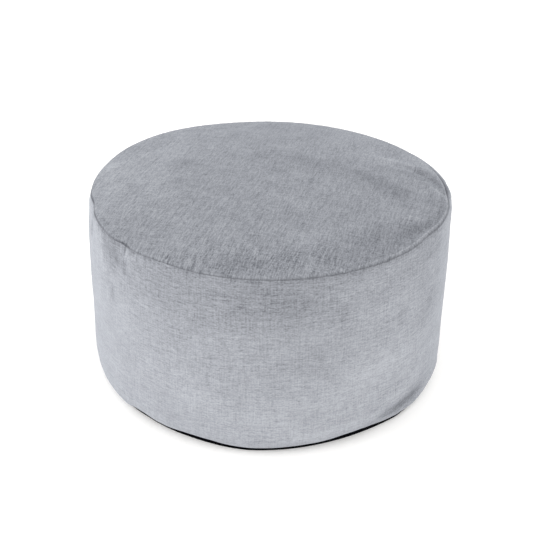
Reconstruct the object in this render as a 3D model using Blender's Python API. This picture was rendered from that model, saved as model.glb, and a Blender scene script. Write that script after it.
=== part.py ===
# A round floor pouf: a crowned cloth top, an upright cloth band over its filling, and a dark cloth base.
# Metres, +Z up, standing on z = 0 with its centre on the Z axis. The front is -Y, and angles run
# anticlockwise from +X, so that the front is at -90 degrees.

import math

import bmesh
import bpy
import numpy as np

# Whole pouf
seam_radius = 0.2910
seam_height = 0.3110
foot_radius = 0.2865
cloth = 0.0020
gap = 0.0003

# Points round a ring, more of them where the cloth is creased
ring_points = 112
crease_spots = [  # angle, half width, added density
    dict(angle=-5, half_width=32, density=2.0),
    dict(angle=-139, half_width=8, density=4.0),
    dict(angle=-166, half_width=6, density=2.0),
]

# The top seam's slow waves round the pouf, and where it is drawn in or let out
seam_waves = [  # waves in a turn, how far out and where, how far up and where
    dict(waves=1, out=0.0016, out_peak=8, up=0.0013, up_peak=-171),
    dict(waves=2, out=0.0016, out_peak=106, up=0.0028, up_peak=-28),
]
seam_kinks = [
    dict(angle=-166, half_width=5.0, inward=0.0040, down=0.0004),
    dict(angle=-138, half_width=4.0, inward=0.0030, down=0.0014),
    dict(angle=-150, half_width=8.0, inward=-0.0022, down=0.0000),
    dict(angle=-121, half_width=10.0, inward=0.0000, down=-0.0018),
    dict(angle=-35, half_width=8.0, inward=0.0036, down=-0.0006),
    dict(angle=-5, half_width=7.0, inward=0.0022, down=0.0000),
    dict(angle=10, half_width=22.0, inward=0.0028, down=0.0004),
    dict(angle=106, half_width=24.0, inward=0.0000, down=0.0026),
    dict(angle=164, half_width=9.0, inward=0.0014, down=0.0000),
]

# Section of the top panel: how high it has risen this far in from the seam
crown_section = [  # inset, rise
    (0.0000, 0.0000),
    (0.0012, 0.0021),
    (0.0035, 0.0036),
    (0.0080, 0.0050),
    (0.0160, 0.0066),
    (0.0300, 0.0086),
    (0.0550, 0.0112),
    (0.0900, 0.0137),
    (0.1400, 0.0160),
    (0.2000, 0.0175),
    (0.2910, 0.0180),
]
whole_rings = [0.0012, 0.0035, 0.008, 0.015, 0.023, 0.032, 0.042, 0.053, 0.066, 0.082]
half_rings = [0.105, 0.135, 0.170]  # every second point
quarter_rings = [0.210, 0.250]  # every fourth point

# Section of the band: its radius at this share of the way from the hem up to the seam
band_section = [  # share, radius
    (0.000, 0.2879),
    (0.005, 0.2888),
    (0.015, 0.2921),
    (0.030, 0.2961),
    (0.050, 0.2989),
    (0.075, 0.3001),
    (0.120, 0.3007),
    (0.300, 0.2992),
    (0.550, 0.2984),
    (0.720, 0.2976),
    (0.840, 0.2960),
    (0.920, 0.2942),
    (0.965, 0.2927),
    (0.990, 0.2915),
    (1.000, 0.2910),
]
band_rings = [0, 0.006, 0.02, 0.045, 0.085, 0.13, 0.2, 0.3, 0.42, 0.54, 0.64, 0.72, 0.79, 0.85, 0.9, 0.94, 0.97]
seam_rings = [0.988, 1]

# The foot's outline on the floor, and how high the hem lifts off the dark base
foot_rows = [  # angle, radius, hem height
    (-180, 0.2855, 0.0020),
    (-145, 0.2850, 0.0020),
    (-140, 0.2852, 0.0026),
    (-136.5, 0.2849, 0.0060),
    (-132, 0.2838, 0.0064),
    (-123, 0.2837, 0.0060),
    (-116, 0.2838, 0.0082),
    (-109, 0.2850, 0.0087),
    (-102, 0.2871, 0.0072),
    (-96, 0.2879, 0.0065),
    (-90, 0.2867, 0.0060),
    (-80, 0.2846, 0.0066),
    (-73, 0.2835, 0.0069),
    (-67, 0.2832, 0.0092),
    (-61, 0.2838, 0.0103),
    (-55, 0.2851, 0.0091),
    (-49, 0.2874, 0.0068),
    (-43, 0.2903, 0.0059),
    (-38, 0.2900, 0.0025),
    (-28, 0.2862, 0.0020),
    (0, 0.2865, 0.0020),
    (140, 0.2870, 0.0020),
    (180, 0.2855, 0.0020),
]

# Section of the cloth under the hem, measured in from the foot's outline
base_outside = [  # inset, share of the hem's height
    (0.0025, 0.00),
    (0.0000, 0.35),
    (-0.0008, 1.00),
]
base_inside = [  # inset, share of the hem's lift above the base cloth
    (0.0012, 1.00),
    (0.0028, 0.35),
    (0.0065, 0.00),
]
band_underside = [  # inset, share of the hem's lift above the base cloth
    (0.0070, 0.00),
    (0.0034, 0.40),
    (0.0016, 1.00),
]

# How far the seam's waves and the foot's outline carry into the cloth, and how near an edge the creases stop
seam_reach_top = 0.090
seam_reach_band = 0.035
foot_reach_band = 0.020
rim_ease = 0.010
hem_ease = 0.004
seam_ease = 0.002
sharp_degrees = 50

# Creases of the top panel, each a soft ridge (+) or trough (-) between two points given as angle and inset
top_folds = [
    dict(start=(-10, 0.008), end=(0, 0.036), width=0.006, rise=0.0016),
    dict(start=(1, 0.012), end=(14, 0.045), width=0.011, rise=-0.0024),
    dict(start=(12, 0.022), end=(28, 0.088), width=0.011, rise=0.0018),
    dict(start=(-30, 0.015), end=(-31, 0.065), width=0.009, rise=0.0013),
    dict(start=(-36, 0.010), end=(-52, 0.038), width=0.013, rise=-0.0016),
    dict(start=(-138, 0.005), end=(-137, 0.016), width=0.007, rise=-0.0016),
    dict(start=(-166, 0.005), end=(-163, 0.022), width=0.009, rise=-0.0014),
    dict(start=(-133, 0.020), end=(-118, 0.050), width=0.014, rise=-0.0012),
    dict(start=(95, 0.020), end=(112, 0.050), width=0.016, rise=-0.0012),
    dict(start=(170, 0.030), end=(150, 0.080), width=0.020, rise=0.0010),
]

# Creases of the band, between two points given as angle and height
band_folds = [
    dict(start=(-135.2, 0.310), end=(-135.2, 0.262), width=0.0045, rise=-0.0009),
    dict(start=(-135.2, 0.262), end=(-135.2, 0.000), width=0.0045, rise=-0.0003),
    dict(start=(-133.4, 0.308), end=(-134.4, 0.284), width=0.0045, rise=0.0012),
    dict(start=(-146, 0.270), end=(-137, 0.275), width=0.010, rise=-0.0022),
    dict(start=(-143, 0.290), end=(-138, 0.295), width=0.012, rise=-0.0014),
    dict(start=(-164, 0.306), end=(-160, 0.283), width=0.009, rise=-0.0022),
    dict(start=(166, 0.298), end=(184, 0.298), width=0.012, rise=0.0016),
    dict(start=(-12, 0.290), end=(36, 0.292), width=0.024, rise=0.0006),
    dict(start=(8, 0.303), end=(48, 0.304), width=0.013, rise=0.0025),
    dict(start=(-4, 0.302), end=(40, 0.303), width=0.014, rise=0.0034),
    dict(start=(-12, 0.301), end=(30, 0.303), width=0.016, rise=0.0026),
    dict(start=(-20, 0.298), end=(20, 0.300), width=0.020, rise=0.0008),
    dict(start=(-184, 0.075), end=(-158, 0.075), width=0.045, rise=0.0010),
    dict(start=(-26, 0.028), end=(-10, 0.030), width=0.012, rise=0.0024),
    dict(start=(-53, 0.024), end=(-36, 0.031), width=0.015, rise=-0.0044),
    dict(start=(-57, 0.064), end=(-40, 0.070), width=0.014, rise=0.0008),
    dict(start=(-48, 0.218), end=(-44, 0.195), width=0.017, rise=-0.0012),
    dict(start=(-79, 0.190), end=(-71, 0.140), width=0.020, rise=-0.0009),
    dict(start=(-147, 0.216), end=(-142, 0.204), width=0.014, rise=-0.0010),
    dict(start=(-80, 0.075), end=(-74, 0.070), width=0.016, rise=-0.0009),
    dict(start=(62, 0.255), end=(76, 0.225), width=0.018, rise=-0.0014),
    dict(start=(118, 0.055), end=(137, 0.042), width=0.017, rise=-0.0024),
    dict(start=(172, 0.195), end=(178, 0.160), width=0.018, rise=-0.0012),
]


def clear_scene():
    for obj in list(bpy.data.objects):
        bpy.data.objects.remove(obj)


def smooth(at, table):
    """A curve through the table's (place, value) rows that never overshoots them, read at these places."""
    places, values = np.array(table, float).T
    steps = np.diff(values) / np.diff(places)
    product = steps[:-1] * steps[1:]
    slopes = np.concatenate([steps[:1], np.zeros(len(places) - 2), steps[-1:]])
    climbs = product > 0
    slopes[1:-1][climbs] = 2 * product[climbs] / (steps[:-1] + steps[1:])[climbs]
    row = np.clip(np.searchsorted(places, at, side="right") - 1, 0, len(places) - 2)
    span = places[row + 1] - places[row]
    t = (at - places[row]) / span
    start = values[row] * (1 + 2 * t) * (1 - t) ** 2 + slopes[row] * span * t * (1 - t) ** 2
    end = values[row + 1] * (3 - 2 * t) * t**2 - slopes[row + 1] * span * t**2 * (1 - t)
    return start + end


def turned(degrees):
    """These angles brought within half a turn of 0."""
    return (degrees + 180) % 360 - 180


def hump(distance, half_width):
    """1 at no distance, falling softly to about 0 at twice the half width."""
    return np.exp(-1.4 * (distance / half_width) ** 2)


def ring_angles():
    """Angles round a ring in degrees, closer together at the creases."""
    fine = np.linspace(-180, 180, 3601)
    density = np.ones_like(fine)
    for spot in crease_spots:
        density += spot["density"] * hump(turned(fine - spot["angle"]), spot["half_width"])
    passed = np.concatenate([[0], np.cumsum((density[1:] + density[:-1]) / 2)])
    wanted = np.arange(ring_points) / ring_points * passed[-1]
    return np.interp(wanted, passed, fine)


def seam_at(angles):
    """Radius and height of the top seam."""
    radius = np.full_like(angles, seam_radius)
    height = np.full_like(angles, seam_height)
    for wave in seam_waves:
        radius += wave["out"] * np.cos(np.radians(wave["waves"] * (angles - wave["out_peak"])))
        height += wave["up"] * np.cos(np.radians(wave["waves"] * (angles - wave["up_peak"])))
    for kink in seam_kinks:
        near = hump(turned(angles - kink["angle"]), kink["half_width"])
        radius -= kink["inward"] * near
        height -= kink["down"] * near
    return radius, height


def fold_relief(across, along, folds, place, turn=math.inf):
    """How far the folds lift the cloth at these points. place turns a fold's end into the same two axes,
    and turn is the way once round, where the first axis runs round the pouf."""
    relief = np.zeros_like(across)
    for fold in folds:
        start = np.array(place(*fold["start"]))
        run = np.array(place(*fold["end"])) - start
        east = across - start[0]
        if turn < math.inf:
            east = (east + turn / 2) % turn - turn / 2
        north = along - start[1]
        nearest = np.clip((east * run[0] + north * run[1]) / np.dot(run, run), 0, 1)
        distance = np.hypot(east - nearest * run[0], north - nearest * run[1])
        relief += fold["rise"] * hump(distance, fold["width"])
    return relief


def foot_at(angles):
    """Radius of the foot on the floor, and height of the hem."""
    radius = smooth(angles, [(angle, radius) for angle, radius, height in foot_rows])
    hem = smooth(angles, [(angle, height) for angle, radius, height in foot_rows])
    return radius, hem


def on_top(angle, inset):
    """x and y of a point of the top given by its angle and its inset from the seam."""
    reach = seam_radius - inset
    return reach * math.cos(math.radians(angle)), reach * math.sin(math.radians(angle))


def on_band(angle, height):
    """A point of the band unrolled: the way round and the height."""
    return seam_radius * math.radians(angle), height


def top_surface(angles, inset):
    """Points of the top panel's outer face along one ring."""
    radius, height = seam_at(angles)
    reach = radius * (1 - inset / seam_radius)
    x = reach * np.cos(np.radians(angles))
    y = reach * np.sin(np.radians(angles))
    held = np.exp(-inset / seam_reach_top)
    z = seam_height + (height - seam_height) * held + smooth(np.full_like(angles, inset), crown_section)
    free = 1 - hump(inset, rim_ease)
    return np.stack([x, y, z + free * fold_relief(x, y, top_folds, on_top)], axis=1)


def inward(angles, inset, depth):
    """The same ring, this far under the outer face, measured square to the cloth."""
    step = 0.0004
    here = top_surface(angles, inset)
    farther_in = top_surface(angles, inset + step)
    farther_round = top_surface(angles + math.degrees(step), inset)
    normal = np.cross(farther_round - here, farther_in - here)
    normal /= np.linalg.norm(normal, axis=1, keepdims=True)
    return here - depth * normal


def band_surface(angles, share):
    """Points of the band's outer face along one ring."""
    radius, height = seam_at(angles)
    foot, hem = foot_at(angles)
    bottom = hem + gap
    z = bottom + share * (height - gap / 2 - bottom)
    # The band follows the seam at its top and the foot at its bottom, and is rounder between them.
    as_seam = np.exp(-(1 - share) * seam_height / seam_reach_band)
    as_foot = np.exp(-share * seam_height / foot_reach_band)
    reach = smooth(np.full_like(angles, share), band_section)
    reach += (radius - seam_radius) * as_seam + (foot - foot_radius) * as_foot
    free = (1 - hump(z - bottom, hem_ease)) * (1 - hump(height - z, seam_ease))
    round_way = seam_radius * np.radians(angles)
    reach += free * fold_relief(round_way, z, band_folds, on_band, turn=2 * math.pi * seam_radius)
    return np.stack([reach * np.cos(np.radians(angles)), reach * np.sin(np.radians(angles)), z], axis=1)


def level_ring(angles, radius, height):
    return np.stack(
        [
            radius * np.cos(np.radians(angles)),
            radius * np.sin(np.radians(angles)),
            height + np.zeros_like(angles),
        ],
        axis=1,
    )


def crown_layers(angles, depth):
    """Rings of the top, from the first one in from the seam to the middle, at a depth under the outer face."""
    rings = [inward(angles, inset, depth) for inset in whole_rings]
    rings += [inward(angles[::2], inset, depth) for inset in half_rings]
    rings += [inward(angles[::4], inset, depth) for inset in quarter_rings]
    return rings


def bridge(bm, outer, inner):
    """Triangles between two rings of points, facing up where the outer one is lower. The inner ring has as many
    points, or half as many. The diagonals start on the outer ring, so that two sheets laid on each other share them."""
    ratio = len(outer) // len(inner)
    faces = []
    for k, here in enumerate(inner):
        after = inner[(k + 1) % len(inner)]
        out = [outer[(ratio * k + j) % len(outer)] for j in range(ratio + 1)]
        if ratio == 1:
            corners = [(out[0], out[1], after), (out[0], after, here)]
        else:
            corners = [(out[0], out[1], here), (out[1], after, here), (out[1], out[2], after)]
        faces += [bm.faces.new(three) for three in corners]
    return faces


def closed_of_rings(name, rings, material, base_height=0, middles=(None, None)):
    """One closed solid through the rings, with its origin at this height. Each end is a flat face, or a fan to
    its middle, whose height is given."""
    bm = bmesh.new()
    loops = [[bm.verts.new((x, y, z - base_height)) for x, y, z in ring] for ring in rings]
    for loop, following in zip(loops, loops[1:]):
        reach = loop[0].co.xy.length - following[0].co.xy.length
        if len(loop) < len(following) or (len(loop) == len(following) and reach < 0):
            turned_over = bridge(bm, following, loop)
            bmesh.ops.reverse_faces(bm, faces=turned_over)
        else:
            bridge(bm, loop, following)
    for loop, middle in zip((loops[0][::-1], loops[-1]), middles):
        end = bm.faces.new(loop)
        if middle is not None:
            fan = bmesh.ops.poke(bm, faces=[end])
            fan["verts"][0].co = (0, 0, middle - base_height)
    mesh = bpy.data.meshes.new(name)
    bm.to_mesh(mesh)
    bm.free()
    mesh.materials.append(material)
    mesh.shade_smooth()
    mesh.set_sharp_from_angle(angle=math.radians(sharp_degrees))
    obj = bpy.data.objects.new(name, mesh)
    obj.location.z = base_height
    bpy.context.scene.collection.objects.link(obj)
    return obj


def cloth_material(name, colour, roughness):
    material = bpy.data.materials.new(name)
    material.use_nodes = True
    shader = material.node_tree.nodes["Principled BSDF"]
    shader.inputs["Base Color"].default_value = (*colour, 1)
    shader.inputs["Roughness"].default_value = roughness
    shader.inputs["Metallic"].default_value = 0
    return material


def top_panel(angles, material):
    """A crowned sheet of cloth whose rim turns down to the seam."""
    radius, height = seam_at(angles)
    edge = height + gap / 2
    under = crown_layers(angles, cloth)
    outer = crown_layers(angles, 0)
    rim = [level_ring(angles, radius - cloth, edge), level_ring(angles, radius, edge)]
    middle = seam_height + crown_section[-1][1]
    return closed_of_rings(
        "top_panel",
        under[::-1] + rim + outer,
        material,
        seam_height,
        (middle - cloth, middle),
    )


def side_band(angles, material):
    """The band and its filling: hollowed under for the base, drawn in at the seam, and crowned under the top."""
    radius, height = seam_at(angles)
    foot, hem = foot_at(angles)
    lift = hem - cloth
    over_base = [level_ring(angles, foot - inset, cloth + gap + share * lift) for inset, share in band_underside]
    outside = [band_surface(angles, share) for share in band_rings + seam_rings]
    shoulder = level_ring(angles, radius - cloth - gap, height - gap / 2)
    middle = seam_height + crown_section[-1][1] - cloth - gap
    return closed_of_rings(
        "side_band",
        over_base + outside + [shoulder] + crown_layers(angles, cloth + gap),
        material,
        cloth + gap,
        (None, middle),
    )


def base_panel(angles, material):
    """A flat sheet of cloth whose rim turns up to the hem where the hem lifts."""
    foot, hem = foot_at(angles)
    outside = [level_ring(angles, foot - inset, share * hem) for inset, share in base_outside]
    inside = [level_ring(angles, foot - inset, cloth + share * (hem - cloth)) for inset, share in base_inside]
    return closed_of_rings("base_panel", outside + inside, material)


def main():
    clear_scene()
    angles = ring_angles()
    pieces = [
        top_panel(angles, cloth_material("top chenille", (0.38, 0.41, 0.45), 0.9)),
        side_band(angles, cloth_material("band chenille", (0.45, 0.48, 0.53), 0.9)),
        base_panel(angles, cloth_material("base cloth", (0.012, 0.013, 0.016), 0.85)),
    ]
    whole = bpy.data.objects.new("pouf", None)
    bpy.context.scene.collection.objects.link(whole)
    for piece in pieces:
        piece.parent = whole


main()
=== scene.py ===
import math

import bmesh
import bpy
import numpy as np
from mathutils import Euler, Matrix, Vector


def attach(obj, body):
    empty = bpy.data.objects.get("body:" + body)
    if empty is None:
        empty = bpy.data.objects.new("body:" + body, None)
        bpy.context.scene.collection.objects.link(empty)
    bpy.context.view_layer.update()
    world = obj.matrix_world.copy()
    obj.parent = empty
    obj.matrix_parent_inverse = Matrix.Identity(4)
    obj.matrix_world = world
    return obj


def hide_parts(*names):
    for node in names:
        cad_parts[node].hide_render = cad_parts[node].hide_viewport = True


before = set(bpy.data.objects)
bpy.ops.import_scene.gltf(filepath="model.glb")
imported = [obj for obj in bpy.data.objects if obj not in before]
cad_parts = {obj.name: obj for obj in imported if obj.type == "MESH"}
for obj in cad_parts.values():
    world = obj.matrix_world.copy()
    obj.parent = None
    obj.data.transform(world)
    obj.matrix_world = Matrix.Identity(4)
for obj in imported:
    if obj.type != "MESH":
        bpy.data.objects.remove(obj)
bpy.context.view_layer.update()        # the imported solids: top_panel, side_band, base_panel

print("frame loaded:", sorted(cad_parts))

# The pouf stands on z = 0, its front is -Y, and angles run anticlockwise from +X in degrees.
form = dict(
    seamRadius=0.2910,
    seamHeight=0.3110,
    footRadius=0.2865,
    cloth=0.0020,  # thickness
    gap=0.0003,  # between neighbouring pieces
    joinAngle=-135.2,  # where the band's two ends are sewn together
    seamWaves=[  # waves in a turn, how far out and where, how far up and where
        (1, 0.0016, 8, 0.0013, -171),
        (2, 0.0016, 106, 0.0028, -28),
    ],
    seamKinks=[  # angle, half width, inward, down
        (-166, 5.0, 0.0040, 0.0004),
        (-138, 4.0, 0.0030, 0.0014),
        (-142.5, 4.0, -0.0010, 0.0012),
        (-131, 6.0, 0.0000, 0.0008),
        (-150, 8.0, -0.0022, 0.0000),
        (-121, 10.0, 0.0000, -0.0018),
        (-35, 8.0, 0.0036, -0.0006),
        (-5, 7.0, 0.0022, 0.0000),
        (10, 22.0, 0.0028, 0.0004),
        (106, 24.0, 0.0000, 0.0026),
        (164, 9.0, 0.0014, 0.0000),
    ],
    footRows=[  # angle, radius on the floor, height of the hem
        (-180, 0.2855, 0.0020),
        (-145, 0.2850, 0.0020),
        (-140, 0.2852, 0.0026),
        (-136.5, 0.2849, 0.0076),
        (-132, 0.2838, 0.0084),
        (-126, 0.2837, 0.0064),
        (-122, 0.2837, 0.0060),
        (-116, 0.2838, 0.0082),
        (-109, 0.2850, 0.0087),
        (-102, 0.2871, 0.0072),
        (-96, 0.2879, 0.0065),
        (-90, 0.2867, 0.0060),
        (-80, 0.2846, 0.0066),
        (-73, 0.2835, 0.0069),
        (-67, 0.2832, 0.0092),
        (-61, 0.2838, 0.0103),
        (-55, 0.2851, 0.0091),
        (-49, 0.2874, 0.0068),
        (-43, 0.2903, 0.0059),
        (-38, 0.2900, 0.0025),
        (-28, 0.2862, 0.0020),
        (0, 0.2865, 0.0020),
        (140, 0.2870, 0.0020),
        (180, 0.2855, 0.0020),
    ],
)


# Shared shape functions

def alongTable(place, rows):
    # a curve through (place, value) rows that never overshoots them
    places, values = np.array(rows, float).T
    steps = np.diff(values) / np.diff(places)
    product = steps[:-1] * steps[1:]
    slopes = np.concatenate([steps[:1], np.zeros(len(places) - 2), steps[-1:]])
    climbs = product > 0
    slopes[1:-1][climbs] = 2 * product[climbs] / (steps[:-1] + steps[1:])[climbs]
    row = np.clip(np.searchsorted(places, place, side="right") - 1, 0, len(places) - 2)
    span = places[row + 1] - places[row]
    t = (place - places[row]) / span
    first = values[row] * (1 + 2 * t) * (1 - t) ** 2 + slopes[row] * span * t * (1 - t) ** 2
    second = values[row + 1] * (3 - 2 * t) * t**2 - slopes[row + 1] * span * t**2 * (1 - t)
    return first + second


def withinHalfTurn(degrees):
    return (degrees + 180) % 360 - 180


def hump(distance, halfWidth):
    # 1 in the middle, about a quarter at the half width
    return np.exp(-1.4 * (distance / halfWidth) ** 2)


def unevenness(points, size, seed, waves=14):
    # soft unevenness in space with bumps of about this size, between about -1 and 1
    rng = np.random.default_rng(seed)
    total = np.zeros(len(points))
    for _ in range(waves):
        direction = rng.normal(size=3)
        direction /= np.linalg.norm(direction)
        length = size * rng.uniform(1.4, 2.8)
        total += np.sin(points @ direction * 2 * math.pi / length + rng.uniform(0, 2 * math.pi))
    return total / math.sqrt(waves)


def seamAt(angles):
    radius = np.full_like(angles, form["seamRadius"])
    height = np.full_like(angles, form["seamHeight"])
    for waves, out, outPeak, up, upPeak in form["seamWaves"]:
        radius += out * np.cos(np.radians(waves * (angles - outPeak)))
        height += up * np.cos(np.radians(waves * (angles - upPeak)))
    for angle, halfWidth, inward, down in form["seamKinks"]:
        near = hump(withinHalfTurn(angles - angle), halfWidth)
        radius -= inward * near
        height -= down * near
    return radius, height


def footAt(angles):
    around = withinHalfTurn(angles)
    radius = alongTable(around, [(angle, radius) for angle, radius, hem in form["footRows"]])
    hem = alongTable(around, [(angle, hem) for angle, radius, hem in form["footRows"]])
    return radius, hem


def foldRelief(across, along, folds, place, turn=math.inf):
    # folds are soft ridges (+) and troughs (-) between two points
    relief = np.zeros_like(across)
    for start, end, width, rise in folds:
        first = np.array(place(*start))
        run = np.array(place(*end)) - first
        east = across - first[0]
        if turn < math.inf:
            east = (east + turn / 2) % turn - turn / 2
        north = along - first[1]
        nearest = np.clip((east * run[0] + north * run[1]) / np.dot(run, run), 0, 1)
        distance = np.hypot(east - nearest * run[0], north - nearest * run[1])
        relief += rise * hump(distance, width)
    return relief


def onTop(angle, inset):
    reach = form["seamRadius"] - inset
    return reach * math.cos(math.radians(angle)), reach * math.sin(math.radians(angle))


def onBand(angle, height):
    return form["seamRadius"] * math.radians(angle), height


def levelRing(angles, radius, height):
    turned = np.radians(angles)
    level = height + np.zeros_like(angles)
    return np.stack([radius * np.cos(turned), radius * np.sin(turned), level], axis=1)


# Top panel: a crowned round of cloth, sewn to the band all round

topPiece = dict(
    points=720,  # points round its outer rings
    crownSection=[  # inset from the seam, rise over it
        (0.0000, 0.0000),
        (0.0012, 0.0021),
        (0.0035, 0.0036),
        (0.0080, 0.0050),
        (0.0160, 0.0066),
        (0.0300, 0.0086),
        (0.0550, 0.0112),
        (0.0900, 0.0137),
        (0.1400, 0.0160),
        (0.2000, 0.0175),
        (0.2910, 0.0180),
    ],
    folds=[  # start and end as (angle, inset), width, rise
        ((-10, 0.008), (0, 0.036), 0.006, 0.0016),
        ((1, 0.012), (14, 0.045), 0.011, -0.0024),
        ((12, 0.022), (28, 0.088), 0.011, 0.0018),
        ((-30, 0.015), (-31, 0.065), 0.009, 0.0013),
        ((-36, 0.010), (-52, 0.038), 0.013, -0.0016),
        ((-138, 0.005), (-137, 0.016), 0.007, -0.0016),
        ((-166, 0.005), (-163, 0.022), 0.009, -0.0014),
        ((-133, 0.020), (-118, 0.050), 0.014, -0.0012),
        ((95, 0.020), (112, 0.050), 0.016, -0.0012),
        ((170, 0.030), (150, 0.080), 0.020, 0.0010),
    ],
    puckers=[  # fine creases that run in from the seam
        ((-121.0, 0.0015), (-119.6, 0.019), 0.0021, -0.0010),
        ((-117.0, 0.0015), (-116.0, 0.010), 0.0017, -0.0005),
        ((-112.0, 0.0015), (-111.0, 0.015), 0.0018, -0.0007),
        ((-104.0, 0.0015), (-103.2, 0.008), 0.0017, -0.0004),
        ((-140.6, 0.0010), (-137.5, 0.009), 0.0020, -0.0008),
        ((-40.0, 0.0015), (-42.0, 0.014), 0.0022, -0.0006),
        ((-47.0, 0.0015), (-49.5, 0.016), 0.0024, -0.0006),
        ((-56.0, 0.0015), (-57.0, 0.010), 0.0020, -0.0004),
    ],
    seamReach=0.09,  # how far in from the seam its waves are felt
    foldsFrom=0.010,  # how near the seam the folds, the puckers and the unevenness fade out
    puckersFrom=0.0016,
    unevenFrom=0.02,
    ridgeRise=0.0007,  # the raised edge just inside the seam
    ridgeInset=0.0034,
    ridgeWidth=0.0019,
    ridgeSide=(-38, 70, 0.25),  # where it is full: angle, half width, and what is left of it elsewhere
    ridgeHighlight=(-25, 50, 0.0011, 0.6),  # the painted highlight on it: angle, half width, the line's half width, shade
    gathers=dict(rise=0.00022, size=0.0045, seed=11, reach=0.009),  # held cloth along the seam
    uneven=[(0.0005, 0.045, 12), (0.00018, 0.014, 13)],  # rise, size, seed
    outerRings=[  # insets of the outer face's rings, of all points, half of them and a quarter
        [
            *(0.0005, 0.0012, 0.0020, 0.0028, 0.0036, 0.0046, 0.0058, 0.0072, 0.0088),
            *np.arange(0.0108, 0.1420, 0.0023),
        ],
        np.arange(0.1445, 0.2200, 0.0036),
        np.arange(0.2210, 0.2860, 0.0052),
    ],
    underRings=[  # the same for the faces under it
        (0.0012, 0.0035),
        (0.0080, 0.0150, 0.0230),
        (0.032, 0.045, 0.066, 0.10, 0.15, 0.20, 0.25),
    ],
)


def topSurface(angles, inset, fine=False):
    radius, height = seamAt(angles)
    reach = radius * (1 - inset / form["seamRadius"])
    x = reach * np.cos(np.radians(angles))
    y = reach * np.sin(np.radians(angles))
    held = np.exp(-inset / topPiece["seamReach"])
    z = form["seamHeight"] + (height - form["seamHeight"]) * held
    z += alongTable(np.full_like(angles, inset), topPiece["crownSection"])
    z += (1 - hump(inset, topPiece["foldsFrom"])) * foldRelief(x, y, topPiece["folds"], onTop)
    if fine:
        flat = np.stack([x, y, np.zeros_like(x)], axis=1)
        free = 1 - hump(inset, topPiece["puckersFrom"])
        z += free * foldRelief(x, y, topPiece["puckers"], onTop)
        rim = levelRing(angles, form["seamRadius"], 0)
        gathers = topPiece["gathers"]
        drawn = unevenness(rim, gathers["size"], gathers["seed"])
        z += free * gathers["rise"] * drawn * math.exp(-inset / gathers["reach"])
        middle, halfWidth, least = topPiece["ridgeSide"]
        share = least + (1 - least) * hump(withinHalfTurn(angles - middle), halfWidth)
        z += topPiece["ridgeRise"] * share * hump(inset - topPiece["ridgeInset"], topPiece["ridgeWidth"])
        inside = 1 - math.exp(-inset / topPiece["unevenFrom"])
        z += inside * sum(rise * unevenness(flat, size, seed) for rise, size, seed in topPiece["uneven"])
    return np.stack([x, y, z], axis=1)


def underTop(angles, inset, depth):
    # the same ring, this far under the outer face, square to the cloth
    step = 0.0004
    here = topSurface(angles, inset)
    fartherIn = topSurface(angles, inset + step)
    fartherRound = topSurface(angles + math.degrees(step), inset)
    normal = np.cross(fartherRound - here, fartherIn - here)
    normal /= np.linalg.norm(normal, axis=1, keepdims=True)
    return here - depth * normal


def ringsUnderTop(grids, depth):
    rows = zip(grids, topPiece["underRings"])
    return [underTop(angles, inset, depth) for angles, insets in rows for inset in insets]


# Side band with the filling behind it: one filled drum

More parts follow.
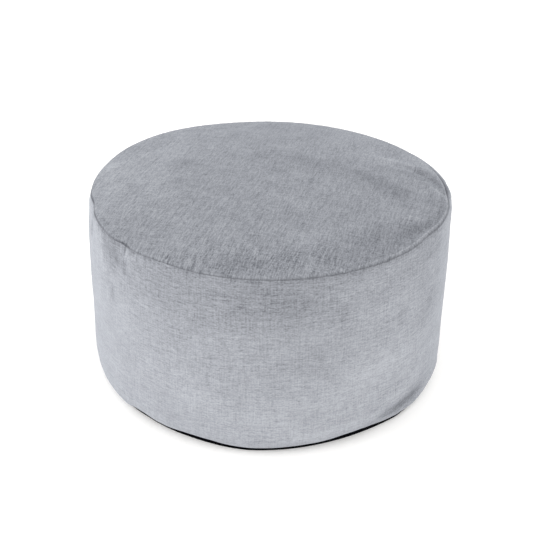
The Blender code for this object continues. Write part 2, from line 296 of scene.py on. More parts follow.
bandPiece = dict(
    points=640,  # points round its outer rings
    section=[  # share of the way from the hem up to the seam, radius
        (0.000, 0.2879),
        (0.005, 0.2888),
        (0.015, 0.2921),
        (0.030, 0.2961),
        (0.050, 0.2989),
        (0.075, 0.3001),
        (0.120, 0.3007),
        (0.300, 0.2992),
        (0.550, 0.2984),
        (0.720, 0.2976),
        (0.840, 0.2960),
        (0.920, 0.2942),
        (0.965, 0.2927),
        (0.990, 0.2915),
        (1.000, 0.2910),
    ],
    folds=[  # start and end as (angle, height), width, rise
        ((-135.2, 0.310), (-135.2, 0.262), 0.0045, -0.0009),
        ((-135.2, 0.262), (-135.2, 0.000), 0.0045, -0.0003),
        ((-133.4, 0.308), (-134.4, 0.284), 0.0045, 0.0012),
        ((-146, 0.270), (-137, 0.275), 0.010, -0.0022),
        ((-143, 0.290), (-138, 0.295), 0.012, -0.0014),
        ((-164, 0.306), (-160, 0.283), 0.009, -0.0022),
        ((166, 0.298), (184, 0.298), 0.012, 0.0016),
        ((-12, 0.290), (36, 0.292), 0.024, 0.0006),
        ((8, 0.303), (48, 0.304), 0.013, 0.0025),
        ((-4, 0.302), (40, 0.303), 0.014, 0.0034),
        ((-12, 0.301), (30, 0.303), 0.016, 0.0026),
        ((-20, 0.298), (20, 0.300), 0.020, 0.0008),
        ((-184, 0.075), (-158, 0.075), 0.045, 0.0010),
        ((-26, 0.028), (-10, 0.030), 0.012, 0.0024),
        ((-53, 0.024), (-36, 0.031), 0.015, -0.0044),
        ((-57, 0.064), (-40, 0.070), 0.014, 0.0008),
        ((-48, 0.218), (-44, 0.195), 0.017, -0.0012),
        ((-79, 0.190), (-71, 0.140), 0.020, -0.0009),
        ((-147, 0.216), (-142, 0.204), 0.014, -0.0010),
        ((-80, 0.075), (-74, 0.070), 0.016, -0.0009),
        ((62, 0.255), (76, 0.225), 0.018, -0.0014),
        ((118, 0.055), (137, 0.042), 0.017, -0.0024),
        ((172, 0.195), (178, 0.160), 0.018, -0.0012),
    ],
    creases=[  # finer marks beside the join and under the seam, then the soft ridges of the right edge
        ((-135.2, 0.309), (-135.2, 0.280), 0.0012, -0.0005),
        ((-135.2, 0.280), (-135.2, 0.002), 0.0012, -0.0002),
        ((-134.2, 0.307), (-134.9, 0.286), 0.0016, 0.0005),
        ((-139.0, 0.304), (-141.5, 0.270), 0.0040, -0.0006),
        ((-128.0, 0.300), (-131.0, 0.268), 0.0060, -0.0004),
        ((-62.0, 0.305), (-61.0, 0.293), 0.0030, -0.0003),
        ((-24.0, 0.303), (-22.0, 0.285), 0.0040, -0.0004),
        ((4.0, 0.3040), (-1.0, 0.3035), 0.0090, 0.0011),
        ((-8.4, 0.3000), (-7.6, 0.2995), 0.0090, 0.0011),
        ((-12.6, 0.3005), (-12.0, 0.3000), 0.0090, -0.0007),
        ((-4.0, 0.2998), (-3.6, 0.2996), 0.0080, -0.0006),
        ((-13.0, 0.2740), (-12.0, 0.2580), 0.0180, 0.0010),
        ((-14.0, 0.2150), (-11.0, 0.1250), 0.0400, 0.0012),
        ((-12.0, 0.0850), (-11.0, 0.0520), 0.0180, 0.0007),
        ((-14.5, 0.0295), (-8.5, 0.0345), 0.0110, -0.0017),
        ((-36.0, 0.0130), (-29.0, 0.0170), 0.0100, 0.0012),
    ],
    seamReach=0.035,  # how far down the seam's waves are felt, and how far up the foot's
    footReach=0.020,
    foldsFrom=(0.004, 0.002),  # how near the hem and the seam the folds fade out
    calm=(-4, 30, 0.85),  # the smooth right shoulder: angle, half width, how much smoother
    seamGathers=dict(rise=0.00020, size=0.0050, seed=21, reach=0.010),
    hemGathers=dict(rise=0.00016, size=0.0060, seed=22, reach=0.010),
    uneven=[(0.0003, 0.050, 23), (0.00018, 0.016, 24)],  # rise, size, seed
    shares=[  # where the outside's rings lie, from the hem to the seam
        *(0, 0.003, 0.007, 0.012, 0.018, 0.025),
        *np.arange(0.033, 0.965, 0.0092),
        *(0.970, 0.976, 0.982, 0.987, 0.991, 0.9945, 0.9975, 1),
    ],
    turnedIn=[(0.0070, 0), (0.0034, 0.4), (0.0016, 1)],  # behind the hem: inset, share of its height
    underside=[(0.10, 0.20), (0.255,)],  # radii under the filling, for rings of a quarter and half the points
    hemHighlight=(0.0024, 0.0016, 0.4),  # the painted highlight over the hem: height, half width, shade
)


def bandSurface(angles, share):
    radius, height = seamAt(angles)
    foot, hem = footAt(angles)
    bottom = hem + form["gap"]
    z = bottom + share * (height - form["gap"] / 2 - bottom)
    # the band follows the seam at its top and the foot at its bottom, and is rounder between them
    asSeam = np.exp(-(1 - share) * form["seamHeight"] / bandPiece["seamReach"])
    asFoot = np.exp(-share * form["seamHeight"] / bandPiece["footReach"])
    reach = alongTable(np.full_like(angles, share), bandPiece["section"])
    reach += (radius - form["seamRadius"]) * asSeam + (foot - form["footRadius"]) * asFoot
    nearHem, nearSeam = bandPiece["foldsFrom"]
    free = (1 - hump(z - bottom, nearHem)) * (1 - hump(height - z, nearSeam))
    roundWay = form["seamRadius"] * np.radians(angles)
    turn = 2 * math.pi * form["seamRadius"]
    reach += free * foldRelief(roundWay, z, bandPiece["folds"], onBand, turn)
    reach += free * foldRelief(roundWay, z, bandPiece["creases"], onBand, turn)
    around = levelRing(angles, form["seamRadius"], 0)
    place = levelRing(angles, form["seamRadius"], z)
    middle, halfWidth, smoother = bandPiece["calm"]
    calm = free * (1 - smoother * hump(withinHalfTurn(angles - middle), halfWidth))
    for gathers, away in ((bandPiece["seamGathers"], height - z), (bandPiece["hemGathers"], z - bottom)):
        drawn = unevenness(around, gathers["size"], gathers["seed"])
        reach += calm * gathers["rise"] * drawn * np.exp(-away / gathers["reach"])
    reach += calm * sum(rise * unevenness(place, size, seed) for rise, size, seed in bandPiece["uneven"])
    return levelRing(angles, reach, z)


# Meshes from rings of points

def meshFromRings(name, rings, middles):
    # each ring has as many points as its neighbour, or twice or half as many
    # the two ends close on a point at their middle's height
    counts = [len(ring) for ring in rings]
    starts = np.concatenate([[0], np.cumsum(counts)])
    faces = []
    for k in range(len(rings) - 1):
        swap = counts[k] < counts[k + 1]
        big, small = (k + 1, k) if swap else (k, k + 1)
        ratio = counts[big] // counts[small]
        inner = np.arange(counts[small])
        after = (inner + 1) % counts[small] + starts[small]
        inner = inner + starts[small]
        outer = [(np.arange(counts[small]) * ratio + j) % counts[big] + starts[big] for j in range(ratio + 1)]
        if ratio == 1:
            made = [np.stack([outer[0], outer[1], after, inner], 1)]
        else:
            made = [np.stack([outer[0], outer[1], inner], 1), np.stack([outer[1], outer[2], after, inner], 1)]
        faces += [tuple(face) for group in made for face in (group[:, ::-1] if swap else group).tolist()]
    points = np.vstack(rings + [np.array([[0, 0, middle]]) for middle in middles])
    for ring, centre in ((0, len(points) - 2), (len(rings) - 1, len(points) - 1)):
        edge = np.arange(counts[ring]) + starts[ring]
        after = np.roll(edge, -1)
        pairs = zip(after, edge) if ring == 0 else zip(edge, after)
        faces += [(int(a), int(b), centre) for a, b in pairs]
    mesh = bpy.data.meshes.new(name)
    mesh.from_pydata(points.tolist(), [], faces)
    bm = bmesh.new()
    bm.from_mesh(mesh)
    bmesh.ops.recalc_face_normals(bm, faces=bm.faces)
    bm.to_mesh(mesh)
    bm.free()
    mesh.shade_smooth()
    piece = bpy.data.objects.new(name, mesh)
    bpy.context.scene.collection.objects.link(piece)
    return piece


def angleGrids(count):
    # the angles of all points of a ring, of half of them and of a quarter
    angles = form["joinAngle"] + np.arange(count) * 360 / count
    return angles, angles[::2], angles[::4]


def pointsOf(piece):
    co = np.empty(len(piece.data.vertices) * 3)
    piece.data.vertices.foreach_get("co", co)
    return co.reshape(-1, 3)


def giveAttribute(piece, name, values):
    layer = piece.data.attributes.new(name, "FLOAT", "POINT")
    layer.data.foreach_set("value", values.astype(np.float32))


def softMarks(across, along, marks, place, turn=math.inf):
    # lighter (+) and darker (-) spots of nap tone, painted shade and painted highlights: middle, half length,
    # half width, tilt, shade
    total = np.zeros_like(across)
    for middle, halfLength, halfWidth, tilt, shade in marks:
        first = place(*middle)
        east = across - first[0]
        if turn < math.inf:
            east = (east + turn / 2) % turn - turn / 2
        north = along - first[1]
        c, s = math.cos(math.radians(tilt)), math.sin(math.radians(tilt))
        lengthwise = (east * c + north * s) / halfLength
        sideways = (north * c - east * s) / halfWidth
        total += shade * hump(np.hypot(lengthwise, sideways), 1)
    return total


def makeTop():
    grids = angleGrids(topPiece["points"])
    radius, height = seamAt(grids[0])
    edge = height + form["gap"] / 2
    rows = zip(grids, topPiece["outerRings"])
    outer = [topSurface(angles, inset, True) for angles, insets in rows for inset in insets]
    under = ringsUnderTop(grids, form["cloth"])
    rim = [levelRing(grids[0], radius - form["cloth"], edge), levelRing(grids[0], radius, edge)]
    middle = form["seamHeight"] + topPiece["crownSection"][-1][1]
    ends = (middle - form["cloth"], outer[-1][:, 2].mean())
    return meshFromRings("top_cloth", under[::-1] + rim + outer, ends)


# How dark the painted shade lies in the seam's groove and on the band just under the seam, with darker (+)
# and lighter (-) places round the pouf
seamLook = dict(
    line=0.35,
    linePlaces=[  # angle, half width, more
        (-172, 12, 0.70),
        (-157, 9, 0.42),
        (-138, 5, 0.45),
        (-30, 10, 0.15),
        (0, 22, 0.65),
    ],
    # painted shade on the band just under the seam, and where it is more (+) or less (-)
    under=0.30,
    shadowUnderPlaces=[
        (-161, 4, 0.35),
        (-146, 5, 0.40),
        (-135, 4, 0.25),
        (-120, 5, -0.20),
        (-102, 8, -0.25),
        (-50, 24, 0.08),
        (-30, 8, 0.15),
        (0, 30, -0.20),
    ],
    shadowUnderReach=0.009,
    topGroove=(0.0006, 0.0014),  # half width of the painted groove shade on the top, and what the shade adds to it
    bandGroove=(0.0004, 0.0012),  # the same on the band
    wideGroove=(5, 20, 0.0010),  # where the band's is wider: angle, half width, how much
)


def roundSeam(angles, shade, places):
    total = np.full_like(angles, shade)
    for middle, halfWidth, more in places:
        total += more * hump(withinHalfTurn(angles - middle), halfWidth)
    return total


def seamShade(angles):
    return np.minimum(roundSeam(angles, seamLook["line"], seamLook["linePlaces"]), 1)


# spots of nap tone mixed with painted shade of folds, puckers and hollows and painted highlights on ridges
topPiece["marks"] = [  # middle as (angle, inset), half length, half width, tilt, shade
    ((-90, 0.030), 0.190, 0.032, 0, -0.21),
    ((-50, 0.045), 0.080, 0.034, 40, -0.22),
    ((-38, 0.020), 0.080, 0.016, 52, -0.42),
    ((159, 0.140), 0.030, 0.020, -20, -0.22),
    ((147, 0.052), 0.030, 0.014, 60, -0.24),
    ((188, 0.069), 0.045, 0.014, -65, -0.22),
    ((20, 0.206), 0.045, 0.024, -20, -0.18),
    ((14, 0.085), 0.040, 0.012, -20, -0.22),
    ((-29, 0.027), 0.012, 0.010, 0, 0.30),
    ((58, 0.206), 0.090, 0.022, -15, -0.22),
    ((0, 0.126), 0.075, 0.024, -48, -0.36),
    ((-14, 0.080), 0.045, 0.026, -70, -0.28),
    ((7.0, 0.032), 0.036, 0.014, -68, -0.36),
    ((-1, 0.012), 0.045, 0.008, -80, -0.40),
    ((22.2, 0.066), 0.035, 0.007, -22, 0.26),
    ((15.3, 0.037), 0.020, 0.006, -30, 0.24),
    ((-5.9, 0.020), 0.022, 0.005, -67, 0.32),
    ((-20, 0.008), 0.040, 0.008, 70, -0.35),
    ((18, 0.012), 0.030, 0.012, -72, 0.30),
    ((-31, 0.046), 0.025, 0.009, -31, 0.26),
    ((169, 0.024), 0.036, 0.022, 80, 0.42),
    ((185, 0.070), 0.110, 0.060, 90, 0.32),
    ((-135, 0.090), 0.070, 0.045, -45, 0.10),
    ((88, 0.040), 0.080, 0.050, 0, -0.10),
    ((132, 0.030), 0.040, 0.020, 40, -0.12),
    ((145, 0.075), 0.110, 0.060, 55, 0.22),
    ((38, 0.070), 0.110, 0.060, -52, 0.12),
    ((-120.6, 0.010), 0.011, 0.0014, 60, -0.80),
    ((-111.6, 0.008), 0.009, 0.0014, 69, -0.70),
    ((-125.0, 0.008), 0.007, 0.0012, 52, -0.40),
    ((-138.3, 0.004), 0.005, 0.0028, 30, -0.80),
    ((-132.5, 0.020), 0.008, 0.0060, 45, 0.34),
    ((-139.0, 0.014), 0.007, 0.0050, 45, 0.26),
    ((-13, 0.028), 0.040, 0.016, 77, -0.26),
]
topPiece["grain"] = [  # where the weave shows more (+) or less (-)
    ((-90, 0.040), 0.200, 0.050, 0, 0.27),
    ((90, 0.060), 0.220, 0.080, 0, -0.28),
]
# spots of nap tone mixed with painted shade of dents, hollows and the join, a painted darker upper band and
# painted lighter places low down
bandPiece["marks"] = [  # middle as (angle, height), half length, half width, tilt, shade
    ((-92, 0.284), 0.170, 0.050, 0, -0.38),
    ((-85, 0.235), 0.250, 0.070, 0, -0.12),
    ((-122, 0.275), 0.080, 0.050, 0, -0.22),
    ((-141.8, 0.283), 0.021, 0.023, 0, -0.52),
    ((-146.0, 0.286), 0.016, 0.018, 0, -0.34),
    ((-136.5, 0.279), 0.010, 0.010, 0, -0.40),
    ((-142.0, 0.258), 0.022, 0.007, -35, -0.14),
    ((-146, 0.240), 0.030, 0.014, 70, -0.16),
    ((-143, 0.212), 0.014, 0.012, 60, -0.26),
    ((-136.0, 0.297), 0.011, 0.0022, 82, 0.48),
    ((-136.9, 0.300), 0.008, 0.0024, 84, -0.62),
    ((-137.2, 0.2985), 0.007, 0.0050, 0, -0.30),
    ((-140.3, 0.2765), 0.010, 0.0050, -36, -0.36),
    ((-136.3, 0.2680), 0.012, 0.0050, -30, -0.38),
    ((-142.6, 0.220), 0.014, 0.0045, 90, -0.42),
    ((-144.3, 0.250), 0.045, 0.0060, 90, -0.16),
    ((-147.6, 0.298), 0.012, 0.0060, -40, -0.26),
    ((-147.3, 0.275), 0.026, 0.0060, 90, -0.18),
    ((-162, 0.285), 0.022, 0.012, 60, -0.30),
    ((-43, 0.034), 0.052, 0.013, 4, -1.05),
    ((-40, 0.056), 0.014, 0.008, 0, -0.28),
    ((-37, 0.032), 0.018, 0.010, 0, -0.34),
    ((-50, 0.147), 0.010, 0.015, 30, -0.28),
    ((-68, 0.040), 0.090, 0.010, 3, 0.24),
    ((-33, 0.190), 0.038, 0.080, 0, -0.22),
    ((-14, 0.150), 0.030, 0.160, 0, 0.16),
    ((-40, 0.250), 0.034, 0.030, 0, -0.14),
    ((-77, 0.028), 0.030, 0.012, 0, 0.16),
    ((-118, 0.200), 0.050, 0.050, 0, -0.13),
    ((-46, 0.062), 0.050, 0.011, 5, 0.26),
    ((-48, 0.212), 0.022, 0.014, 70, -0.24),
    ((-75, 0.168), 0.034, 0.011, 120, -0.06),
    ((-71.5, 0.140), 0.012, 0.009, 0, -0.16),
    ((-76, 0.073), 0.020, 0.010, 0, -0.18),
    ((-60, 0.130), 0.090, 0.030, 15, 0.20),
    ((-72, 0.070), 0.190, 0.055, 0, 0.16),
    ((-34, 0.290), 0.080, 0.022, 0, -0.28),
    ((-66, 0.274), 0.060, 0.018, 0, 0.16),
    ((-57, 0.273), 0.016, 0.014, 0, 0.22),
    ((-54, 0.225), 0.120, 0.036, 0, 0.16),
    ((-50, 0.130), 0.120, 0.060, 0, 0.17),
    ((-90, 0.060), 0.120, 0.050, 0, 0.12),
    ((-112, 0.100), 0.060, 0.060, 0, 0.10),
    ((-100, 0.020), 0.200, 0.022, 0, 0.10),
    ((-66, 0.028), 0.060, 0.010, 8, 0.16),
]
bandPiece["grain"] = [
    ((-85, 0.270), 0.170, 0.060, 0, 0.12),
    ((-148, 0.150), 0.110, 0.140, 0, -0.34),
    ((-171, 0.150), 0.060, 0.200, 0, -0.50),
    ((-118, 0.050), 0.090, 0.060, 0, -0.20),
    ((-22, 0.150), 0.060, 0.140, 0, -0.22),
]


def shadeTop(piece):
    co = pointsOf(piece)
    angles = np.degrees(np.arctan2(co[:, 1], co[:, 0]))
    radius, height = seamAt(angles)
    inset = radius - np.hypot(co[:, 0], co[:, 1])
    # painted highlight along the ridge just inside the seam
    middle, halfWidth, lineWidth, shade = topPiece["ridgeHighlight"]
    share = hump(withinHalfTurn(angles - middle), halfWidth)
    ridgeHighlightLine = shade * share * hump(inset - topPiece["ridgeInset"], lineWidth)
    # nap tone with painted shade and painted highlights
    giveAttribute(piece, "napandshading", softMarks(co[:, 0], co[:, 1], topPiece["marks"], onTop) + ridgeHighlightLine)
    giveAttribute(piece, "grain", 1 + softMarks(co[:, 0], co[:, 1], topPiece["grain"], onTop))
    # painted shade in the seam's groove, along the top's edge
    least, more = seamLook["topGroove"]
    groove = least + more * seamShade(angles)
    giveAttribute(piece, "creaseshadow", seamShade(angles) * hump(inset, groove))


def makeBand():
    grids = angleGrids(bandPiece["points"])
    whole = grids[0]
    radius, height = seamAt(whole)
    foot, hem = footAt(whole)
    lift = hem - form["cloth"]
    clear = form["cloth"] + form["gap"]  # how far the filling lies behind the next cloth's outer face
    rows = zip(grids[:0:-1], bandPiece["underside"])
    hollow = [levelRing(angles, reach, clear) for angles, radii in rows for reach in radii]
    hollow += [levelRing(whole, foot - inset, clear + share * lift) for inset, share in bandPiece["turnedIn"]]
    outside = [bandSurface(whole, share) for share in bandPiece["shares"]]
    shoulder = levelRing(whole, radius - clear, height - form["gap"] / 2)
    crown = ringsUnderTop(grids, clear)
    middle = form["seamHeight"] + topPiece["crownSection"][-1][1] - clear
    return meshFromRings("band_cover", hollow + outside + [shoulder] + crown, (clear, middle))


def shadeBand(piece):
    co = pointsOf(piece)
    angles = np.degrees(np.arctan2(co[:, 1], co[:, 0]))
    roundWay = form["seamRadius"] * np.radians(angles)
    turn = 2 * math.pi * form["seamRadius"]
    radius, height = seamAt(angles)
    foot, hem = footAt(angles)
    # painted highlight along the band's rolled hem
    over, halfWidth, shade = bandPiece["hemHighlight"]
    hemHighlightLine = shade * hump(co[:, 2] - hem - over, halfWidth)
    # painted shade on the band just under the seam
    shadowUnderSeam = roundSeam(angles, seamLook["under"], seamLook["shadowUnderPlaces"])
    shadowUnderSeam = shadowUnderSeam * hump(height - co[:, 2], seamLook["shadowUnderReach"])
    # nap tone with painted shade and painted highlights, the hem's painted highlight and the painted shade
    # under the seam
    napandshading = softMarks(roundWay, co[:, 2], bandPiece["marks"], onBand, turn) + hemHighlightLine - shadowUnderSeam
    giveAttribute(piece, "napandshading", napandshading)
    giveAttribute(piece, "grain", 1 + softMarks(roundWay, co[:, 2], bandPiece["grain"], onBand, turn))
    # painted shade in the seam's groove, along the top of the band
    least, more = seamLook["bandGroove"]
    middle, halfWidth, wider = seamLook["wideGroove"]
    groove = least + more * seamShade(angles) + wider * hump(withinHalfTurn(angles - middle), halfWidth)
    giveAttribute(piece, "creaseshadow", seamShade(angles) * hump(height - co[:, 2], groove))
    # the weave runs round the pouf from one side of the join to the other
    fromJoin = (roundWay - form["seamRadius"] * math.radians(form["joinAngle"]) + 1e-6) % turn
    layer = piece.data.uv_layers.new(name="weave")
    corner = np.empty(len(piece.data.loops), int)
    piece.data.loops.foreach_get("vertex_index", corner)
    counts = np.empty(len(piece.data.polygons), int)
    piece.data.polygons.foreach_get("loop_total", counts)
    firsts = np.concatenate([[0], np.cumsum(counts)[:-1]])
    u = fromJoin[corner]
    highest = np.repeat(np.maximum.reduceat(u, firsts), counts)
    u = np.where(highest - u > turn / 2, u + turn, u)
    layer.data.foreach_set("uv", np.stack([u, co[corner, 2]], 1).astype(np.float32).ravel())


# Base panel: a dark round of cloth, whose rim turns up to the band's hem

basePiece = dict(
    points=360,  # points round its outer rings
    flatRings=(0.10, 0.20),  # radii
    underRing=0.265,
    upperRing=0.255,
    outside=[  # inset, share of the hem's height
        (0.0025, 0.00),
        (0.0008, 0.06),
        (0.0000, 0.35),
        (-0.0005, 0.70),
        (-0.0008, 1.00),
    ],
    inside=[
        (0.0012, 1.00),
        (0.0028, 0.35),
        (0.0065, 0.00),
    ],
)


def makeBase():
    angles, half, quarter = angleGrids(basePiece["points"])
    foot, hem = footAt(angles)
    cloth = form["cloth"]
    lift = hem - cloth
    rings = [levelRing(quarter, reach, 0) for reach in basePiece["flatRings"]]
    rings += [levelRing(half, basePiece["underRing"], 0)]
    rings += [levelRing(angles, foot - inset, share * hem) for inset, share in basePiece["outside"]]
    rings += [levelRing(angles, foot - inset, cloth + share * lift) for inset, share in basePiece["inside"]]
    rings += [levelRing(half, basePiece["upperRing"], cloth)]
    rings += [levelRing(quarter, reach, cloth) for reach in reversed(basePiece["flatRings"])]
    return meshFromRings("base_cloth", rings, (0, cloth))


# Materials

def addNode(tree, kind, **settings):
    node = tree.nodes.new(kind)
    for key, value in settings.items():
        setattr(node, key, value)
    return node


def feed(tree, socket, value):
    # a socket takes another node's output, or a plain value
    if isinstance(value, bpy.types.NodeSocket):
        tree.links.new(value, socket)
    else:
        socket.default_value = value


def maths(tree, operation, *values):
    node = addNode(tree, "ShaderNodeMath", operation=operation)
    for socket, value in zip(node.inputs, values):
        feed(tree, socket, value)
    return node.outputs[0]


def mixed(tree, factor, first, second):
    node = addNode(tree, "ShaderNodeMix", data_type="RGBA", clamp_factor=True)
    feed(tree, node.inputs["Factor"], factor)
    feed(tree, node.inputs["A"], first)
    feed(tree, node.inputs["B"], second)
    return node.outputs["Result"]


def streaks(tree, vector, alongSize, acrossSize, detail, offset, depthScale=1):
    # noise drawn out along the cloth's threads, from about -1 to 1
    mapping = addNode(tree, "ShaderNodeMapping")
    mapping.inputs["Scale"].default_value = (1 / alongSize, 1 / acrossSize, depthScale)
    mapping.inputs["Location"].default_value = (offset, offset * 1.7, offset * 0.3)
    tree.links.new(vector, mapping.inputs["Vector"])
    noise = addNode(tree, "ShaderNodeTexNoise")
    noise.inputs["Scale"].default_value = 1
    noise.inputs["Detail"].default_value = detail
    noise.inputs["Roughness"].default_value = 0.55
    tree.links.new(mapping.outputs[0], noise.inputs["Vector"])
    return maths(tree, "MULTIPLY_ADD", noise.outputs["Fac"], 4.0, -2.0)


def addUp(tree, terms):
    total = 0.0
    for value, weight in terms:
        total = maths(tree, "MULTIPLY_ADD", value, weight, total)
    return total


slubWeave = dict(
    layers=dict(  # size along the weft, across it, detail, offset
        slub=(0.010, 0.0021, 2, 1.3),  # drawn-out thick places of the weft
        long=(0.045, 0.0030, 1, 5.1),
        ribs=(0.0021, 0.034, 1, 9.7),
        flecks=(0.0021 * 1.4, 0.0021, 2, 3.9),
        fuzz=(0.0009, 0.0006, 1, 2.2),
        threads=(0.012, 0.0012, 1, 6.1),
    ),
    patches=(0.050, 0.050, 3, 7.7, 1 / 0.050),  # the same in space
    shade=[  # layer, how much of it a finish takes, weight
        ("slub", "Slubs", 0.75),
        ("long", "Slubs", 0.30),
        ("ribs", "Ribs", 1.0),
        ("flecks", "Flecks", 1.0),
    ],
    sharpness=-0.30,
    threadShade=1.3,
    fuzzShade=0.02,
    # the colour that the painted shade in the seam's groove multiplies the cloth by
    creaseShadowTint=(0.24, 0.24, 0.26, 1),
    roughness=(-0.10, 0.92),  # what the light places change, and the middle
    height=dict(slub=0.35, ribs=0.20, flecks=0.30, fuzz=0.15),
)


def slubGroup():
    tree = bpy.data.node_groups.new("slubWeave", "ShaderNodeTree")
    inputs = [(name, "Vector") for name in ("Vector", "Place")]
    inputs += [(name, "Float") for name in ("Napandshading", "Grain", "Creaseshadow", "Patches", "Slubs", "Ribs", "Flecks")]
    inputs += [(name, "Color") for name in ("Dark", "Middle", "Light")]
    for name, kind in inputs:
        tree.interface.new_socket(name, in_out="INPUT", socket_type="NodeSocket" + kind)
    for name, kind in (("Colour", "Color"), ("Roughness", "Float"), ("Height", "Float")):
        tree.interface.new_socket(name, in_out="OUTPUT", socket_type="NodeSocket" + kind)
    given = addNode(tree, "NodeGroupInput").outputs
    made = addNode(tree, "NodeGroupOutput").inputs
    noise = {name: streaks(tree, given["Vector"], *sizes) for name, sizes in slubWeave["layers"].items()}
    patches = streaks(tree, given["Place"], *slubWeave["patches"])
    even = addUp(tree, [
        (maths(tree, "MULTIPLY", noise[name], given[amount]), weight)
        for name, amount, weight in slubWeave["shade"]
    ])
    # the dark places between threads are sharper than the light ones on them
    squared = maths(tree, "MULTIPLY", even, even)
    fine = addUp(tree, [(even, 1.0), (squared, slubWeave["sharpness"])])
    # single threads catch the light where the weave shows more
    shown = maths(tree, "MAXIMUM", maths(tree, "SUBTRACT", given["Grain"], 1.0), 0.0)
    shade = addUp(tree, [
        (maths(tree, "MULTIPLY", fine, given["Grain"]), 1.0),
        (maths(tree, "MULTIPLY", noise["threads"], shown), slubWeave["threadShade"]),
        (maths(tree, "MULTIPLY", patches, given["Patches"]), 1.0),
        (given["Napandshading"], 1.0),
        (noise["fuzz"], slubWeave["fuzzShade"]),
    ])
    low = maths(tree, "MULTIPLY", maths(tree, "MINIMUM", shade, 0.0), -1.0)
    high = maths(tree, "MAXIMUM", shade, 0.0)
    colour = mixed(tree, low, given["Middle"], given["Dark"])
    colour = mixed(tree, high, colour, given["Light"])
    # painted shade in the seam's groove: the cloth colour is multiplied darker along the seam
    grooveShadow = addNode(tree, "ShaderNodeMix", data_type="RGBA", blend_type="MULTIPLY", clamp_factor=True)
    feed(tree, grooveShadow.inputs["Factor"], given["Creaseshadow"])
    feed(tree, grooveShadow.inputs["A"], colour)
    feed(tree, grooveShadow.inputs["B"], slubWeave["creaseShadowTint"])
    feed(tree, made["Colour"], grooveShadow.outputs["Result"])
    feed(tree, made["Roughness"], maths(tree, "MULTIPLY_ADD", fine, *slubWeave["roughness"]))
    height = addUp(tree, [(noise[name], weight) for name, weight in slubWeave["height"].items()])
    feed(tree, made["Height"], height)
    return tree


chenille = dict(sheen=0.22, relief=0.0006, reliefStrength=0.5)
# The top and the band are one cloth: the top's colours are painted darker than the band's, painted shade for
# how its nap shows to this view and light
topClothShaded = dict(
    turn=-74,  # the weft runs front to back, leaning right
    dark=(0.104, 0.110, 0.124, 1),
    middle=(0.232, 0.241, 0.264, 1),
    light=(0.386, 0.399, 0.426, 1),
    amounts=dict(Patches=0.15, Slubs=0.54, Ribs=0.22, Flecks=0.42),
)
bandFinish = dict(
    dark=(0.132, 0.138, 0.154, 1),
    middle=(0.297, 0.308, 0.336, 1),
    light=(0.478, 0.493, 0.529, 1),
    amounts=dict(Patches=0.11, Slubs=0.38, Ribs=0.17, Flecks=0.34),
)


sheenLook = dict(specular=0.5, roughness=0.40, tint=(0.86, 0.91, 1.0, 1))


def clothShader(name, sheen):
    material = bpy.data.materials.new(name)
    material.use_nodes = True
    tree = material.node_tree
    shader = tree.nodes["Principled BSDF"]
    shader.inputs["Metallic"].default_value = 0
    shader.inputs["Specular IOR Level"].default_value = sheenLook["specular"] * sheen
    shader.inputs["Sheen Weight"].default_value = sheen
    shader.inputs["Sheen Roughness"].default_value = sheenLook["roughness"]
    shader.inputs["Sheen Tint"].default_value = sheenLook["tint"]
    return material, tree, shader


def giveRelief(tree, shader, height, distance, strength):
    bump = addNode(tree, "ShaderNodeBump")
    bump.inputs["Strength"].default_value = strength
    bump.inputs["Distance"].default_value = distance
    tree.links.new(height, bump.inputs["Height"])
    tree.links.new(bump.outputs["Normal"], shader.inputs["Normal"])


def chenilleMaterial(name, finish, group, vectorOf):
    material, tree, shader = clothShader(name, chenille["sheen"])
    weave = addNode(tree, "ShaderNodeGroup", node_tree=group)
    feed(tree, weave.inputs["Vector"], vectorOf(tree))
    feed(tree, weave.inputs["Place"], addNode(tree, "ShaderNodeTexCoord").outputs["Object"])
    for attribute in ("napandshading", "grain", "creaseshadow"):
        spread = addNode(tree, "ShaderNodeAttribute", attribute_name=attribute)
        feed(tree, weave.inputs[attribute.capitalize()], spread.outputs["Fac"])
    for colour in ("dark", "middle", "light"):
        weave.inputs[colour.capitalize()].default_value = finish[colour]
    for socket, amount in finish["amounts"].items():
        weave.inputs[socket].default_value = amount
    giveRelief(tree, shader, weave.outputs["Height"], chenille["relief"], chenille["reliefStrength"])
    tree.links.new(weave.outputs["Colour"], shader.inputs["Base Color"])
    tree.links.new(weave.outputs["Roughness"], shader.inputs["Roughness"])
    return material


def topVector(tree):
    coordinates = addNode(tree, "ShaderNodeTexCoord")
    mapping = addNode(tree, "ShaderNodeMapping")
    mapping.inputs["Rotation"].default_value = (0, 0, math.radians(topClothShaded["turn"]))
    mapping.inputs["Scale"].default_value = (1, 1, 0)
    tree.links.new(coordinates.outputs["Object"], mapping.inputs["Vector"])
    return mapping.outputs[0]


def bandVector(tree):
    return addNode(tree, "ShaderNodeUVMap", uv_map="weave").outputs[0]


baseFinish = dict(
    dark=(0.0015, 0.0016, 0.0022, 1),
    light=(0.0045, 0.0048, 0.0062, 1),
    warp=(0.0030, 0.0008, 2, 0.4),  # size along x, along y, detail, offset
    weft=(0.0008, 0.0030, 2, 4.4),
    relief=0.0004,
    reliefStrength=0.4,
    roughness=(0.05, 0.85),  # what the light places change, and the middle
)


def baseMaterial():
    finish = baseFinish
    material, tree, shader = clothShader("black base cloth", 0.0)
    place = addNode(tree, "ShaderNodeTexCoord").outputs["Object"]
    weave = addUp(tree, [(streaks(tree, place, *finish[thread]), 0.5) for thread in ("warp", "weft")])
    share = maths(tree, "MULTIPLY_ADD", weave, 0.5, 0.5)
    tree.links.new(mixed(tree, share, finish["dark"], finish["light"]), shader.inputs["Base Color"])
    giveRelief(tree, shader, weave, finish["relief"], finish["reliefStrength"])
    feed(tree, shader.inputs["Roughness"], maths(tree, "MULTIPLY_ADD", weave, *finish["roughness"]))
    return material


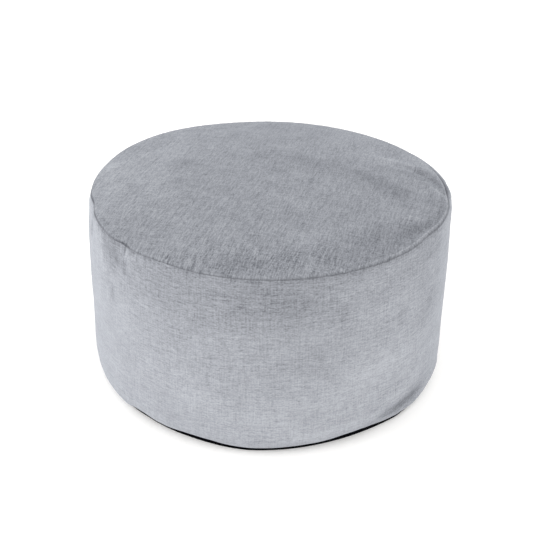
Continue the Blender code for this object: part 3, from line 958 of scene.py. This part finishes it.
print("modelling the cloth pieces")
top = makeTop()
shadeTop(top)
band = makeBand()
shadeBand(band)
base = makeBase()
for piece in (top, band, base):
    print(piece.name, "triangles:", sum(len(face.vertices) - 2 for face in piece.data.polygons))

group = slubGroup()
top.data.materials.append(chenilleMaterial("top chenille", topClothShaded, group, topVector))
band.data.materials.append(chenilleMaterial("band chenille", bandFinish, group, bandVector))
base.data.materials.append(baseMaterial())
print("weave and nap are in place")

for piece, node, slot in (
    (top, "top_panel", "top_cloth"),
    (band, "side_band", "band_cloth"),
    (base, "base_panel", "base_cloth"),
):
    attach(piece, "root")
    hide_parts(node)


# Floor, light and camera

stage = dict(
    floorSize=30.0,
    floorColour=(0.93, 0.922, 0.905, 1),
    floorGlow=0.15,
    floorRoughness=0.9,
    floorSpecular=0.1,
    worldColour=(1.0, 1.0, 1.0, 1),
    worldStrength=1.28,
    lamps=[  # name, place, aim, width, height, power
        ("left softbox", (-2.8, -0.9, 0.7), (0, 0, 0.15), 1.8, 1.4, 33),
        ("right fill", (2.6, -0.6, 0.7), (0, 0, 0.15), 1.4, 1.4, 5),
    ],
)
view = dict(
    elevation=30.31,
    roll=0.56,
    distance=1.5971,
    aim=(-0.0031, 0, 0.1607),
    lens=62.83,
    sensor=36,
)


def makeStage():
    bpy.ops.object.select_all(action="DESELECT")
    bpy.ops.mesh.primitive_plane_add(size=stage["floorSize"], location=(0, 0, 0))
    floor = bpy.context.object
    floor.name = "floor"
    material = bpy.data.materials.new("pale floor")
    material.use_nodes = True
    shader = material.node_tree.nodes["Principled BSDF"]
    shader.inputs["Base Color"].default_value = stage["floorColour"]
    shader.inputs["Roughness"].default_value = stage["floorRoughness"]
    shader.inputs["Specular IOR Level"].default_value = stage["floorSpecular"]
    shader.inputs["Emission Color"].default_value = stage["floorColour"]
    shader.inputs["Emission Strength"].default_value = stage["floorGlow"]
    floor.data.materials.append(material)
    world = bpy.data.worlds.new("studio")
    world.use_nodes = True
    background = world.node_tree.nodes["Background"]
    background.inputs["Color"].default_value = stage["worldColour"]
    background.inputs["Strength"].default_value = stage["worldStrength"]
    bpy.context.scene.world = world
    for name, place, aim, width, height, power in stage["lamps"]:
        lamp = bpy.data.lights.new(name, "AREA")
        lamp.shape = "RECTANGLE"
        lamp.size = width
        lamp.size_y = height
        lamp.energy = power
        holder = bpy.data.objects.new(name, lamp)
        holder.location = place
        holder.rotation_euler = (Vector(aim) - Vector(place)).to_track_quat("-Z", "Y").to_euler()
        bpy.context.scene.collection.objects.link(holder)


def makeCamera():
    camera = bpy.data.cameras.new("camera")
    camera.lens = view["lens"]
    camera.sensor_width = view["sensor"]
    holder = bpy.data.objects.new("camera", camera)
    tilt = math.radians(view["elevation"])
    place = Vector(view["aim"]) - Vector((0, math.cos(tilt), -math.sin(tilt))) * view["distance"]
    level = Euler((math.radians(90) - tilt, 0, 0)).to_matrix()
    facing = level @ Matrix.Rotation(math.radians(view["roll"]), 3, "Z")
    holder.matrix_world = Matrix.Translation(place) @ facing.to_4x4()
    bpy.context.scene.collection.objects.link(holder)
    bpy.context.scene.camera = holder


makeStage()
makeCamera()
bpy.context.scene.view_settings.view_transform = "Standard"
bpy.context.scene.view_settings.look = "None"
print("stage, lights and camera are in place")
